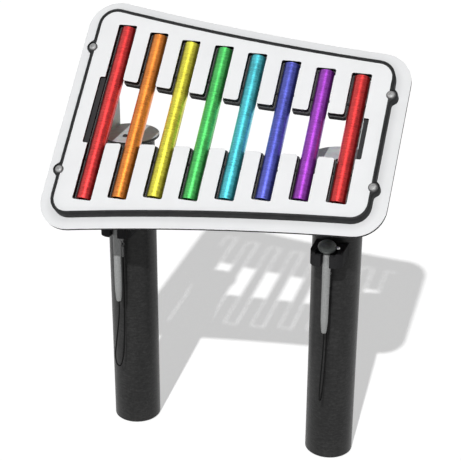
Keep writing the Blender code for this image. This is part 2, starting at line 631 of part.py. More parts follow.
def make_tether(sign, word):
    x = sign * POST_X
    route = [(x + a, POST_Y + b, c) for a, b, c in TETHER_ROUTE[word]]
    pts, _ = smooth_path(route, 9.0)
    cu = bpy.data.curves.new("beater_tether_" + word, "CURVE")
    cu.dimensions = "3D"
    cu.bevel_depth = CORD_D / 2 * MM
    cu.bevel_resolution = 2
    cu.use_fill_caps = True
    sp = cu.splines.new("POLY")
    sp.points.add(len(pts) - 1)
    for q, p in zip(sp.points, pts):
        q.co = (p.x * MM, p.y * MM, p.z * MM, 1.0)
    cu.materials.append(material("cord_black", rough=0.6))
    ob = bpy.data.objects.new("beater_tether_" + word, cu)
    bpy.context.scene.collection.objects.link(ob)


def main():
    clear_scene()
    base_low = make_sheets()
    make_tubes()
    make_posts(base_low)
    for sign, word in ((-1, "left"), (1, "right")):
        make_fork(sign, word)
        make_fork_screw(sign, word)
        make_beater(sign, word)
        make_anchor(sign, word)
        make_tether(sign, word)


main()
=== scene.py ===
"""Looks of the free-standing tubular xylophone: finishes of every surface, the
hanging tethers, turned and machined details, a pale floor and soft light.
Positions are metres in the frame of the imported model: +X to the short tubes,
+Y to the back, +Z up.  Lengths in capitals are millimetres."""
import math
import bpy
import bmesh
from mathutils import Matrix, Vector


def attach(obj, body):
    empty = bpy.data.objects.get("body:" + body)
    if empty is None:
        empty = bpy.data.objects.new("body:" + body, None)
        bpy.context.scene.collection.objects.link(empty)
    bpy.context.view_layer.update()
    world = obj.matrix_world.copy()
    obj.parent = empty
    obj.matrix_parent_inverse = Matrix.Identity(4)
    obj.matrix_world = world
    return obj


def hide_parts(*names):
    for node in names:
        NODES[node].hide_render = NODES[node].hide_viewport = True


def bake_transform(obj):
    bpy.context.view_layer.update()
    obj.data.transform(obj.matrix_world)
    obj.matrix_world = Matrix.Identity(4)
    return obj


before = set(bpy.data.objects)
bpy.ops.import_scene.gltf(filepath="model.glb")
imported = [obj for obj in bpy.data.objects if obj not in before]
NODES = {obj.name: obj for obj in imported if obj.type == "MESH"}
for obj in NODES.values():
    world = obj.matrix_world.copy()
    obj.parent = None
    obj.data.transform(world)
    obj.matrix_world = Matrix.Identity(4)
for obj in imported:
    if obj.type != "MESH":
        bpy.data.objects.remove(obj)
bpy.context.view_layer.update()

MM = 0.001
TILT = math.radians(47.0)
POST_X, POST_Y = 275.4, 52.8
PANEL_Y, PANEL_Z = POST_Y - 60.8, 896.2
SHEET_T = 15.5
BASE_TOP = -6.5
PITCH = 88.4
ANCHOR_Y, BEATER_Y = 72.0, 108.0
HEAD_Z, HEAD_R, HEAD_HALF_H, HEAD_SEAT = 635.0, 22.7, 16.7, 15.49
HANDLE_TOP, HANDLE_TIP = 643.0, 399.7
FORK_Z0, FORK_Z1, FORK_FRONT = 589.0, 626.0, 130.0
CORD_D = 4.0
GAP = 0.3
TUBE_R, TUBE_WALL, TUBE_L1, OCTAVE_RATIO, SLOT_HALF_W = 19.0, 2.5, 470.8, 1.4446, 24.5
SCALE_STEPS = (0, 2, 4, 5, 7, 9, 11, 12)
NODE_FRAC = 0.2242
BOLTS = ((-387.5, 169.3), (-387.5, -169.3), (387.5, 118.0), (387.5, -118.0))
POST_H, DISC_R, DISC_T, FIN_U, FIN_T = 820.0, 75.0, 8.0, 332.0, 8.0
FLANGE_BOLT_U, FLANGE_BOLT_V, FLANGE_T = 353.0, (16.0, 146.0), 8.0
AXIS_T = (0.0, math.cos(TILT), math.sin(TILT))        # along the tubes
AXIS_N = (0.0, -math.sin(TILT), math.cos(TILT))       # out of the white face
PANEL = Matrix.Translation((0.0, PANEL_Y, PANEL_Z)) @ Matrix.Rotation(TILT, 4, "X")


# ---------------------------------------------------------------- camera
def make_camera():
    az, el, roll = math.radians(17.85), math.radians(23.90), math.radians(0.30)
    back = Vector((math.sin(az) * math.cos(el), -math.cos(az) * math.cos(el), math.sin(el)))
    right = Vector((math.cos(az), math.sin(az), 0.0))
    up = back.cross(right)
    r2 = math.cos(roll) * right + math.sin(roll) * up
    u2 = -math.sin(roll) * right + math.cos(roll) * up
    place = Vector((-0.0047, POST_Y * MM, 0.5933)) + back * 3.1596
    data = bpy.data.cameras.new("camera")
    data.sensor_width = 36.0
    data.lens = 96.147
    data.clip_start, data.clip_end = 0.05, 200.0
    cam = bpy.data.objects.new("camera", data)
    m = Matrix((r2, u2, back)).transposed().to_4x4()
    m.translation = place
    cam.matrix_world = m
    bpy.context.scene.collection.objects.link(cam)
    bpy.context.scene.camera = cam


# ---------------------------------------------------------------- shader helpers
class Mat:
    """A Principled material with short helpers for its nodes.  Coordinates are
    millimetres in the frame of the model."""

    def __init__(self, name, **fixed):
        self.mat = bpy.data.materials.new(name)
        self.mat.use_nodes = True
        self.nt = self.mat.node_tree
        self.bsdf = self.nt.nodes["Principled BSDF"]
        for key, value in fixed.items():
            self.bsdf.inputs[key.replace("_", " ")].default_value = value
        tex = self.nt.nodes.new("ShaderNodeTexCoord")
        self.pos = self.vec("SCALE", tex.outputs["Object"], scale=1000.0)

    def link(self, a, b):
        self.nt.links.new(a, b)

    def put(self, sock, value):
        if isinstance(value, bpy.types.NodeSocket):
            self.link(value, sock)
        else:
            sock.default_value = value

    def math(self, op, a, b=0.0, c=0.0, clamp=False):
        n = self.nt.nodes.new("ShaderNodeMath")
        n.operation, n.use_clamp = op, clamp
        self.put(n.inputs[0], a)
        self.put(n.inputs[1], b)
        if len(n.inputs) > 2:
            self.put(n.inputs[2], c)
        return n.outputs[0]

    def vec(self, op, a, b=None, scale=None):
        n = self.nt.nodes.new("ShaderNodeVectorMath")
        n.operation = op
        self.put(n.inputs[0], a)
        if b is not None:
            self.put(n.inputs[1], b)
        if scale is not None:
            self.put(n.inputs["Scale"], scale)
        return n.outputs["Value"] if op in ("DOT_PRODUCT", "LENGTH", "DISTANCE") else n.outputs["Vector"]

    def along(self, axis, zero=0.0, pos=None):
        d = self.vec("DOT_PRODUCT", pos or self.pos, axis)
        return self.math("SUBTRACT", d, zero) if zero else d

    def combine(self, x, y, z):
        n = self.nt.nodes.new("ShaderNodeCombineXYZ")
        for s, v in zip(n.inputs, (x, y, z)):
            self.put(s, v)
        return n.outputs[0]

    def noise(self, vector, scale=1.0, detail=2.0, rough=0.5, distortion=0.0):
        n = self.nt.nodes.new("ShaderNodeTexNoise")
        n.noise_dimensions = "3D"
        self.link(vector, n.inputs["Vector"])
        n.inputs["Scale"].default_value = scale
        n.inputs["Detail"].default_value = detail
        n.inputs["Roughness"].default_value = rough
        n.inputs["Distortion"].default_value = distortion
        return n.outputs["Fac"]

    def cells(self, vector, scale=1.0, feature="F1", randomness=1.0, out="Distance"):
        n = self.nt.nodes.new("ShaderNodeTexVoronoi")
        n.feature = feature
        self.link(vector, n.inputs["Vector"])
        n.inputs["Scale"].default_value = scale
        n.inputs["Randomness"].default_value = randomness
        return n.outputs[out]

    def span(self, value, a, b, c=0.0, d=1.0, smooth=False):
        n = self.nt.nodes.new("ShaderNodeMapRange")
        n.clamp = True
        if smooth:
            n.interpolation_type = "SMOOTHSTEP"
        self.put(n.inputs[0], value)
        for k, v in zip((1, 2, 3, 4), (a, b, c, d)):
            self.put(n.inputs[k], v)
        return n.outputs[0]

    def ramp(self, fac, *stops):
        n = self.nt.nodes.new("ShaderNodeValToRGB")
        self.link(fac, n.inputs[0])
        els = n.color_ramp.elements
        while len(els) < len(stops):
            els.new(0.5)
        for el, (p, c) in zip(els, stops):
            el.position = p
            el.color = (*c, 1.0) if len(c) == 3 else c
        return n.outputs[0]

    def mix(self, fac, a, b, blend="MIX"):
        n = self.nt.nodes.new("ShaderNodeMix")
        n.data_type = "RGBA"
        n.blend_type = blend
        self.put(n.inputs[0], fac)
        for s, v in zip((6, 7), (a, b)):
            self.put(n.inputs[s], v if isinstance(v, bpy.types.NodeSocket) else (*v, 1.0))
        return n.outputs[2]

    def bump(self, height, distance, strength=1.0, normal=None):
        n = self.nt.nodes.new("ShaderNodeBump")
        n.inputs["Strength"].default_value = strength
        n.inputs["Distance"].default_value = distance * MM
        self.link(height, n.inputs["Height"])
        if normal is not None:
            self.link(normal, n.inputs["Normal"])
        return n.outputs[0]

    def set(self, **sockets):
        for key, value in sockets.items():
            self.link(value, self.bsdf.inputs[key.replace("_", " ")])
        return self.mat


def panel_h(m):
    """Height above the tubes' axis plane, in mm."""
    zero = PANEL_Y * AXIS_N[1] + PANEL_Z * AXIS_N[2]
    return m.along(AXIS_N, zero)


def panel_v(m):
    zero = PANEL_Y * AXIS_T[1] + PANEL_Z * AXIS_T[2]
    return m.along(AXIS_T, zero)


# ---------------------------------------------------------------- materials
def face_distance(m):
    """Distance outwards from the edge of the white face, in the panel plane."""
    u, v = m.along((1, 0, 0)), panel_v(m)
    half = m.math("ADD", m.math("MULTIPLY", m.math("MULTIPLY", u, u), 0.73e-4), m.math("MULTIPLY", u, -0.1131))
    qx = m.math("SUBTRACT", m.math("ABSOLUTE", u), 382.5 - 38.0)
    qy = m.math("SUBTRACT", m.math("ABSOLUTE", v), m.math("ADD", half, 228.3 - 38.0))
    out = m.vec("LENGTH", m.combine(m.math("MAXIMUM", qx, 0.0), m.math("MAXIMUM", qy, 0.0), 0.0))
    return m.math("SUBTRACT", m.math("ADD", out, m.math("MINIMUM", m.math("MAXIMUM", qx, qy), 0.0)), 38.0)


def sheet_material(name, top, low, white, skin_t=1.0, shade_by_rim=False, floors=False):
    """Sandwich board: white skins on a black core, routed edges; with shade_by_rim, painted shade darkens the margin
    along the foot of the rim.
    """
    m = Mat(name)
    h = panel_h(m)
    wobble = m.math("MULTIPLY", m.math("SUBTRACT", m.noise(m.pos, 0.35, 2.0), 0.5), 0.35)
    hw = m.math("ADD", h, wobble)
    skin = m.math("MAXIMUM", m.math("GREATER_THAN", hw, top - skin_t), m.math("LESS_THAN", hw, low + skin_t))
    broad = m.noise(m.pos, 0.012, 3.0, 0.55)
    fine = m.noise(m.pos, 0.9, 2.0, 0.6)
    light = tuple(c * 1.03 for c in white)
    shade = tuple(c * 0.96 for c in white)
    face = m.ramp(m.math("ADD", m.math("MULTIPLY", broad, 0.6), m.math("MULTIPLY", fine, 0.4)), (0.3, shade), (0.7, light))
    scuff = m.noise(m.combine(m.math("MULTIPLY", m.along((1, 0, 0)), 0.15), panel_v(m), h), 0.22, 4.0, 0.7)
    scuff = m.math("MULTIPLY", m.span(scuff, 0.66, 0.74), m.span(m.noise(m.pos, 0.01, 2.0), 0.45, 0.65, 0.0, 0.12))
    face = m.mix(scuff, face, (0.45, 0.45, 0.44))
    if shade_by_rim:
        # painted shade: darker along the foot of the rim, standing in for the shade under the raised band
        painted_rim_shade = m.span(face_distance(m), 7.0, 30.0, 0.16, 0.0, True)
        face = m.mix(painted_rim_shade, face, (0.06, 0.06, 0.058))
    marks = m.noise(m.combine(m.along((1, 0, 0)), m.math("MULTIPLY", panel_v(m), 1.0), m.math("MULTIPLY", h, 0.06)), 0.9, 2.0, 0.6)
    core = m.ramp(marks, (0.3, (0.005, 0.005, 0.006)), (0.7, (0.015, 0.015, 0.016)))
    if floors:
        # milled pocket floors, a worn grey
        level = m.math("LESS_THAN", m.math("ABSOLUTE", m.math("SUBTRACT", h, 7.5)), 0.4)
        core = m.mix(level, core, (0.040, 0.040, 0.042))
    base = m.mix(skin, core, face)
    rough = m.math("ADD", m.math("MULTIPLY", skin, -0.16), m.span(fine, 0.3, 0.7, 0.62, 0.72))
    grain = m.cells(m.pos, 0.75)
    hair = m.math("ADD", m.math("MULTIPLY", grain, 0.5), m.math("MULTIPLY", m.noise(m.pos, 1.6, 2.0), 0.5))
    n1 = m.bump(hair, 0.05, 0.35)
    n2 = m.bump(m.math("MULTIPLY", marks, m.math("SUBTRACT", 1.0, skin)), 0.25, 0.6, n1)
    return m.set(Base_Color=base, Roughness=rough, Normal=n2, Specular_IOR_Level=m.span(skin, 0.0, 1.0, 0.05, 0.25))


def black_sheet_material():
    """Black sheet, satin on its faces and finely marked where it was cut."""
    m = Mat("board_lower", Specular_IOR_Level=0.10)
    h = panel_h(m)
    fine = m.noise(m.pos, 0.9, 3.0, 0.6)
    broad = m.noise(m.pos, 0.03, 3.0)
    marks = m.noise(m.combine(m.along((1, 0, 0)), panel_v(m), m.math("MULTIPLY", h, 0.06)), 0.9, 2.0, 0.6)
    tone = m.math("ADD", m.math("MULTIPLY", broad, 0.5), m.math("MULTIPLY", fine, 0.5))
    base = m.ramp(tone, (0.3, (0.012, 0.012, 0.013)), (0.7, (0.030, 0.030, 0.031)))
    # the step beside the tubes is scraped lighter than the cut walls
    base = m.mix(m.math("GREATER_THAN", h, -0.7), base, (0.078, 0.078, 0.079))
    return m.set(Base_Color=base, Roughness=m.span(fine, 0.3, 0.7, 0.50, 0.66),
                 Normal=m.bump(marks, 0.15, 0.5, m.bump(fine, 0.06, 0.4)))


def rim_material():
    m = Mat("rim_rubber", Specular_IOR_Level=0.13)
    broad = m.noise(m.pos, 0.05, 3.0)
    fine = m.noise(m.pos, 1.3, 3.0, 0.6)
    base = m.ramp(m.math("ADD", m.math("MULTIPLY", broad, 0.5), m.math("MULTIPLY", fine, 0.5)),
                  (0.3, (0.012, 0.012, 0.013)), (0.7, (0.030, 0.031, 0.031)))
    return m.set(Base_Color=base, Roughness=m.span(fine, 0.3, 0.7, 0.45, 0.60), Normal=m.bump(fine, 0.08, 0.4))


def post_material():
    """Moulded charcoal plastic with a leathery, faintly ringed grain."""
    m = Mat("post_plastic", Specular_IOR_Level=0.2)
    x, y, z = m.along((1, 0, 0)), m.along((0, 1, 0)), m.along((0, 0, 1))
    grain = m.cells(m.pos, 0.28, "SMOOTH_F1")
    fine = m.noise(m.pos, 0.8, 3.0, 0.6)
    flat = m.combine(m.math("MULTIPLY", x, 0.30), m.math("MULTIPLY", y, 0.30), z)
    streak = m.noise(flat, 0.24, 3.0, 0.62)
    broad = m.noise(m.combine(x, y, m.math("MULTIPLY", z, 0.25)), 0.02, 3.0)
    mott = m.noise(m.pos, 0.16, 4.0, 0.62)
    tone = m.math("ADD", m.math("ADD", m.math("MULTIPLY", streak, 0.45), m.math("MULTIPLY", mott, 0.35)), m.math("MULTIPLY", broad, 0.20))
    base = m.ramp(tone, (0.37, (0.0095, 0.0095, 0.0095)), (0.5, (0.0170, 0.0170, 0.0170)), (0.63, (0.030, 0.030, 0.030)))
    dust = m.math("MULTIPLY", m.span(z, 70.0, 0.0, 0.0, 0.10, True), m.span(mott, 0.35, 0.65, 0.2, 1.0))
    base = m.mix(dust, base, (0.075, 0.073, 0.068))
    bump = m.bump(grain, 0.35, 0.6)
    bump = m.bump(streak, 0.24, 0.8, bump)
    bump = m.bump(fine, 0.14, 0.6, bump)
    return m.set(Base_Color=base, Roughness=m.span(mott, 0.3, 0.7, 0.30, 0.46), Normal=bump)


def fork_material():
    """Black sheet plastic, faces milled in level passes."""
    m = Mat("fork_plastic", Specular_IOR_Level=0.06)
    cut = m.noise(m.combine(m.along((1, 0, 0)), m.along((0, 1, 0)), m.math("MULTIPLY", m.along((0, 0, 1)), 6.0)), 0.35, 3.0, 0.6)
    fine = m.noise(m.pos, 1.2, 2.0)
    base = m.ramp(cut, (0.3, (0.013, 0.013, 0.014)), (0.7, (0.031, 0.031, 0.032)))
    return m.set(Base_Color=base, Roughness=m.span(fine, 0.3, 0.7, 0.72, 0.85),
                 Normal=m.bump(fine, 0.06, 0.4, m.bump(cut, 0.12, 0.5)))


def zinc_material():
    """Dull galvanised plate with spangle; the round plate's edge is painted near black, a painted shade on its shaded
    side wall.
    """
    m = Mat("zinc_plate")
    spangle = m.cells(m.pos, 0.11, "F1", 1.0, "Color")
    cloud = m.noise(m.pos, 0.04, 4.0, 0.6)
    fine = m.noise(m.pos, 1.1, 2.0)
    grey = m.ramp(cloud, (0.3, (0.475, 0.510, 0.518)), (0.7, (0.610, 0.650, 0.660)))
    base = m.mix(0.07, grey, spangle, "OVERLAY")
    x = m.math("SUBTRACT", m.math("ABSOLUTE", m.along((1, 0, 0))), POST_X)
    out = m.vec("LENGTH", m.combine(x, m.along((0, 1, 0), POST_Y), 0.0))
    # painted shade: the round plate's side wall is coloured near black and made non-metallic
    cap = m.math("MULTIPLY", m.math("GREATER_THAN", out, DISC_R - 0.6), m.math("LESS_THAN", m.along((0, 0, 1)), POST_H + GAP + DISC_T + 0.5))
    base = m.mix(cap, base, (0.012, 0.012, 0.012))
    metal = m.math("SUBTRACT", 0.18, m.math("MULTIPLY", cap, 0.18))
    return m.set(Base_Color=base, Metallic=metal, Roughness=m.span(cloud, 0.3, 0.7, 0.45, 0.62),
                 Normal=m.bump(fine, 0.05, 0.35))


def steel_material(name="steel_satin", tone=0.52, rough=(0.26, 0.42), metal=1.0):
    m = Mat(name, Metallic=metal)
    fine = m.noise(m.pos, 1.6, 3.0, 0.6)
    cloud = m.noise(m.pos, 0.45, 3.0)
    base = m.ramp(cloud, (0.3, (tone * 0.75,) * 3), (0.7, (tone * 1.12,) * 3))
    return m.set(Base_Color=base, Roughness=m.span(fine, 0.3, 0.7, *rough), Normal=m.bump(fine, 0.05, 0.5))


def dome_material():
    """Satin panel bolts; the foot of each dome and the flange round it are darker."""
    m = Mat("dome_satin", Metallic=0.35)
    fine = m.noise(m.pos, 1.6, 3.0, 0.6)
    cloud = m.noise(m.pos, 0.45, 3.0)
    base = m.ramp(cloud, (0.3, (0.30, 0.30, 0.30)), (0.7, (0.45, 0.45, 0.45)))
    u = m.along((1, 0, 0))
    v0 = m.math("ADD", 169.3, m.math("MULTIPLY", m.math("GREATER_THAN", u, 0.0), 118.0 - 169.3))
    du = m.math("SUBTRACT", m.math("ABSOLUTE", u), 387.5)
    dv = m.math("SUBTRACT", m.math("ABSOLUTE", panel_v(m)), v0)
    out = m.vec("LENGTH", m.combine(du, dv, 0.0))
    # darker from the foot of each dome out over its flange
    ring = m.math("MULTIPLY", m.span(out, 8.3, 9.4), m.math("GREATER_THAN", panel_h(m), 0.0))
    base = m.mix(m.math("MULTIPLY", ring, 0.9), base, (0.05, 0.05, 0.05))
    return m.set(Base_Color=base, Roughness=m.span(fine, 0.3, 0.7, 0.42, 0.58), Normal=m.bump(fine, 0.05, 0.5))


def tube_material(name, colour, u0):
    """Turned, dyed aluminium under a clear seal: fine rings round the tube, a
    little mottled."""
    m = Mat(name, Metallic=0.82, Coat_Weight=1.0, Coat_Roughness=0.16, Coat_IOR=1.5)
    v = panel_v(m)
    h = panel_h(m)
    u = m.along((1, 0, 0), u0)
    rings = m.noise(m.combine(m.math("MULTIPLY", u, 0.04), m.math("MULTIPLY", h, 0.04), v), 0.55, 3.0, 0.7)
    grain = m.noise(m.combine(m.math("MULTIPLY", u, 0.22), m.math("MULTIPLY", h, 0.22), m.math("MULTIPLY", v, 0.6)), 0.75, 3.0, 0.65)
    cloud = m.noise(m.pos, 0.018, 3.0)
    tone = m.math("ADD", m.math("ADD", m.math("MULTIPLY", rings, 0.42), m.math("MULTIPLY", grain, 0.42)), m.math("MULTIPLY", cloud, 0.16))
    dark = tuple(c * 0.62 for c in colour)
    lite = tuple(min(1.0, c * 1.22 + 0.02) for c in colour)
    base = m.ramp(tone, (0.38, dark), (0.5, colour), (0.62, lite))
    bump = m.bump(rings, 0.07, 0.55)
    bump = m.bump(grain, 0.12, 0.45, bump)
    return m.set(Base_Color=base, Roughness=m.span(tone, 0.4, 0.6, 0.30, 0.44), Normal=bump,
                 Coat_Normal=m.bump(rings, 0.03, 0.4))


def rubber_material():
    m = Mat("pin_sleeve", Specular_IOR_Level=0.3)
    fine = m.noise(m.pos, 1.5, 3.0)
    base = m.ramp(fine, (0.3, (0.008, 0.008, 0.008)), (0.7, (0.022, 0.022, 0.023)))
    return m.set(Base_Color=base, Roughness=m.span(fine, 0.3, 0.7, 0.6, 0.8), Normal=m.bump(fine, 0.06, 0.5))


def handle_material():
    m = Mat("handle_plastic", Specular_IOR_Level=0.4)
    mott = m.noise(m.pos, 0.22, 4.0, 0.6)
    fine = m.noise(m.pos, 1.4, 2.0)
    base = m.ramp(mott, (0.3, (0.242, 0.248, 0.246)), (0.7, (0.335, 0.342, 0.338)))
    z = m.along((0, 0, 1))
    worn = m.math("MULTIPLY", m.span(z, 445.0, 410.0, 0.0, 0.5), m.span(mott, 0.45, 0.6))
    base = m.mix(worn, base, (0.17, 0.17, 0.165))
    return m.set(Base_Color=base, Roughness=m.span(fine, 0.3, 0.7, 0.46, 0.60), Normal=m.bump(fine, 0.07, 0.4))


def head_material():
    m = Mat("head_rubber", Specular_IOR_Level=0.45)
    mott = m.noise(m.pos, 0.3, 4.0, 0.6)
    fine = m.noise(m.pos, 1.6, 2.0)
    base = m.ramp(mott, (0.3, (0.072, 0.080, 0.077)), (0.7, (0.120, 0.132, 0.126)))
    return m.set(Base_Color=base, Roughness=m.span(fine, 0.3, 0.7, 0.45, 0.62), Normal=m.bump(fine, 0.12, 0.5))


def cord_material():
    m = Mat("cord_cover", Specular_IOR_Level=0.08)
    fine = m.noise(m.pos, 2.2, 2.0)
    base = m.ramp(fine, (0.3, (0.003, 0.003, 0.003)), (0.7, (0.009, 0.009, 0.009)))
    return m.set(Base_Color=base, Roughness=m.span(fine, 0.3, 0.7, 0.5, 0.65), Normal=m.bump(fine, 0.05, 0.5))


TUBE_COLOURS = (
    ("red", (0.76, 0.038, 0.038)), ("orange", (0.93, 0.28, 0.035)), ("yellow", (0.87, 0.79, 0.065)),
    ("green", (0.085, 0.62, 0.135)), ("cyan", (0.085, 0.61, 0.71)), ("blue", (0.10, 0.118, 0.58)),
    ("purple", (0.38, 0.052, 0.56)), ("red", (0.76, 0.038, 0.038)),
)


def assign(mat, *names):
    for n in names:
        o = NODES[n]
        for k in range(len(o.data.materials)):
            o.data.materials[k] = mat


# ---------------------------------------------------------------- turned and cut pieces
def spread(points, step):
    """Smooth curve through (r, z) points, at about the given spacing."""
    pts = [Vector((r, z, 0.0)) for r, z in points]
    ext = [pts[0] * 2 - pts[1]] + pts + [pts[-1] * 2 - pts[-2]]
    out = []
    for p0, p1, p2, p3 in zip(ext, ext[1:], ext[2:], ext[3:]):
        n = max(1, int((p2 - p1).length / step))
        for k in range(n):
            t = k / n
            q = 0.5 * ((2 * p1) + (p2 - p0) * t + (2 * p0 - 5 * p1 + 4 * p2 - p3) * t * t
                       + (3 * p1 - p0 - 3 * p2 + p3) * t * t * t)
            out.append((q.x, q.y))
    out.append(points[-1])
    return out


def turn(bm, profile, seg, matrix):
    """Adds a closed solid of revolution about Z to bm.  A profile point is
    (radius, height) or (radius, height, kind); kind "hex" makes that ring six
    sided and a number makes six lobes of that depth."""
    rings = []
    for p in profile:
        r, z, kind = p[0], p[1], (p[2] if len(p) > 2 else None)
        if r < 1e-6:
            rings.append([bm.verts.new(matrix @ Vector((0.0, 0.0, z)))])
            continue
        ring = []
        for k in range(seg):
            t = 2.0 * math.pi * k / seg
            q = r
            if kind == "hex":
                a = (t + math.pi / 6) % (math.pi / 3) - math.pi / 6
                q = r * math.cos(math.pi / 6) / math.cos(a)
            elif kind:
                q = r + kind * math.cos(6 * t)
            ring.append(bm.verts.new(matrix @ Vector((q * math.cos(t), q * math.sin(t), z))))
        rings.append(ring)
    if len(rings[0]) > 1 and len(rings[-1]) > 1:
        rings.append(rings[0])
    for a, b in zip(rings, rings[1:]):
        if len(a) == 1 and len(b) == 1:
            continue
        for k in range(seg):
            m = (k + 1) % seg
            if len(a) == 1:
                bm.faces.new((a[0], b[k], b[m]))
            elif len(b) == 1:
                bm.faces.new((a[k], b[0], a[m]))
            else:
                bm.faces.new((a[k], b[k], b[m], a[m]))


def at(x, y, z, axis="Z"):
    """Place in mm, with the piece's own Z laid along the given axis."""
    rot = {"Z": Matrix.Identity(4), "X": Matrix.Rotation(math.pi / 2, 4, "Y"),
           "Y": Matrix.Rotation(-math.pi / 2, 4, "X")}[axis]
    return Matrix.Translation((x, y, z)) @ rot


def plain_object(name, bm):
    bmesh.ops.recalc_face_normals(bm, faces=bm.faces)
    bmesh.ops.transform(bm, matrix=Matrix.Scale(MM, 4), verts=bm.verts)
    me = bpy.data.meshes.new(name)
    bm.to_mesh(me)
    bm.free()
    ob = bpy.data.objects.new(name, me)
    bpy.context.scene.collection.objects.link(ob)
    return ob


def drill(ob, solids):
    """Takes the solids, a list of (profile, seg, matrix), out of ob."""
    tools = []
    for profile, seg, matrix in solids:
        bm = bmesh.new()
        turn(bm, profile, seg, matrix)
        tools.append(plain_object("drill", bm))
        mod = ob.modifiers.new("drill", "BOOLEAN")
        mod.operation, mod.solver, mod.object = "DIFFERENCE", "EXACT", tools[-1]
    graph = bpy.context.evaluated_depsgraph_get()
    me = bpy.data.meshes.new_from_object(ob.evaluated_get(graph))
    old = ob.data
    ob.modifiers.clear()
    ob.data = me
    bpy.data.meshes.remove(old)
    for t in tools:
        data = t.data
        bpy.data.objects.remove(t, do_unlink=True)
        bpy.data.meshes.remove(data)


def settle(ob, mat, body, node, sharp=32.0):
    """Shading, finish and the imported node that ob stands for."""
    me = ob.data
    me.materials.clear()
    me.materials.append(mat)
    me.shade_smooth()
    me.set_sharp_from_angle(angle=math.radians(sharp))
    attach(ob, body)
    if node:
        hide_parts(node)
    return ob


def solid(name, parts, mat, body, node, seg=48, sharp=32.0):
    """One piece of several turned parts, each (profile, matrix)."""
    bm = bmesh.new()
    for profile, matrix in parts:
        turn(bm, profile, seg, matrix)
    return settle(plain_object(name, bm), mat, body, node, sharp)


def ring_profile(major, minor, n=14):
    return [(major + minor * math.cos(2 * math.pi * k / n), minor * math.sin(2 * math.pi * k / n)) for k in range(n)]


def tube_len(i):
    return TUBE_L1 * OCTAVE_RATIO ** (-SCALE_STEPS[i] / 12.0)


def make_tubes(rubber):
    for i, (word, colour) in enumerate(TUBE_COLOURS):
        u, half = (i - 3.5) * PITCH, tube_len(i) / 2.0
        r0, c = TUBE_R - TUBE_WALL, 0.7
        prof = [(TUBE_R, -half + c), (TUBE_R, half - c), (TUBE_R - c, half), (r0 + c, half), (r0, half - c),
                (r0, -half + c), (r0 + c, -half), (TUBE_R - c, -half)]
        bm = bmesh.new()
        turn(bm, prof, 96, PANEL @ at(u, 0, 0, "Y"))
        ob = plain_object("tube_%d_%s" % (i + 1, word), bm)
        node = tube_len(i) * (0.5 - NODE_FRAC)
        pin = [(0.0, -30.0), (3.3, -30.0), (3.3, 30.0), (0.0, 30.0)]
        drill(ob, [(pin, 24, PANEL @ at(u, s * node, 0, "X")) for s in (1, -1)])
        settle(ob, tube_material("dye_%d_%s" % (i + 1, word), colour, u), "stand", "tube_%d" % (i + 1))
        for s, side in ((1, "back"), (-1, "front")):
            half_l = SLOT_HALF_W + 12.0
            pin = [(0.0, -half_l), (2.4, -half_l), (3.0, -half_l + 0.6), (3.0, half_l - 0.6), (2.4, half_l), (0.0, half_l)]
            solid("cross_pin_%d_%s" % (i + 1, side), [(pin, PANEL @ at(u, s * node, 0, "X"))], rubber,
                  "stand", "tube_pin_%d_%s" % (i + 1, side), 24)


def make_bolts(steel, dark, dome):
    t = SHEET_T + GAP
    nut = -SHEET_T - GAP
    for k, (u, v) in enumerate(BOLTS):
        m = PANEL @ Matrix.Translation((u, v, 0.0)) @ Matrix.Rotation(0.35 + 1.1 * k, 4, "Z")
        head = [(0.0, t + 5.2), (1.2, t + 5.2), (1.6, t + 4.9), (1.7, t + 3.0), (3.3, t + 3.0, 0.45), (3.4, t + 5.2, 0.45),
                (3.75, t + 5.75, 0.3), (4.6, t + 5.62), (6.0, t + 5.15), (7.4, t + 4.4), (8.5, t + 3.5), (9.2, t + 2.5),
                (9.5, t + 1.7), (9.6, t + 1.35), (11.1, t + 1.3), (11.5, t + 0.9), (11.5, t + 0.2), (11.2, t), (4.0, t), (4.0, nut + 0.2), (0.0, nut + 0.2)]
        cap = [(0.0, nut), (7.4, nut, "hex"), (8.0, nut - 0.5, "hex"), (8.0, nut - 5.6, "hex"), (7.1, nut - 6.2, "hex"),
               (6.4, nut - 6.4), (6.2, nut - 8.4), (5.0, nut - 10.2), (2.8, nut - 11.2), (0.0, nut - 11.5)]
        solid("dome_bolt_%d" % (k + 1), [(head, m), (cap, m)], dome, "stand", "panel_bolt_%d" % (k + 1), 72)
    for sign, word in ((-1, "left"), (1, "right")):
        top = POST_H + GAP + DISC_T + GAP
        screw = [(0.0, top + 1.4), (2.4, top + 1.4, "hex"), (2.5, top + 4.1, "hex"), (3.0, top + 4.5), (4.6, top + 4.0), (6.4, top + 2.6),
                 (7.4, top + 1.2), (7.5, top + 0.2), (7.3, top), (4.0, top), (4.0, POST_H - 40.0), (0.0, POST_H - 44.0)]
        solid("plate_screw_" + word, [(screw, at(sign * POST_X, POST_Y - 30.0, 0))], dark, "stand", "post_screw_" + word, 48)
        h = -SHEET_T - GAP - FLANGE_T - GAP
        for k, v in enumerate(FLANGE_BOLT_V):
            bolt = [(0.0, h - 5.4), (4.6, h - 5.4), (7.0, h - 5.2, "hex"), (8.0, h - 4.4, "hex"), (8.0, h - 1.2, "hex"), (7.9, h - 1.0), (7.9, h),
                    (4.0, h), (4.0, -5.8), (0.0, -5.8)]
            solid("hex_bolt_%s_%d" % (word, k + 1), [(bolt, PANEL @ at(sign * FLANGE_BOLT_U, v, 0))], steel,
                  "stand", "flange_bolt_%s_%d" % (word, k + 1), 48)
        seat = -BEATER_Y + 11.0 + 5.0
        screw = [(0.0, seat - 2.0), (1.9, seat - 2.0, "hex"), (2.0, seat - 4.3, "hex"), (2.5, seat - 4.5), (4.5, seat - 4.2), (5.7, seat - 3.2),
                 (6.0, seat - 2.4), (6.0, seat), (3.0, seat), (3.0, -30.0), (0.0, -26.0)]
        solid("holder_screw_" + word, [(screw, at(sign * POST_X, POST_Y, (FORK_Z0 + FORK_Z1) / 2, "Y"))], steel,
              "stand", "fork_screw_" + word, 48)


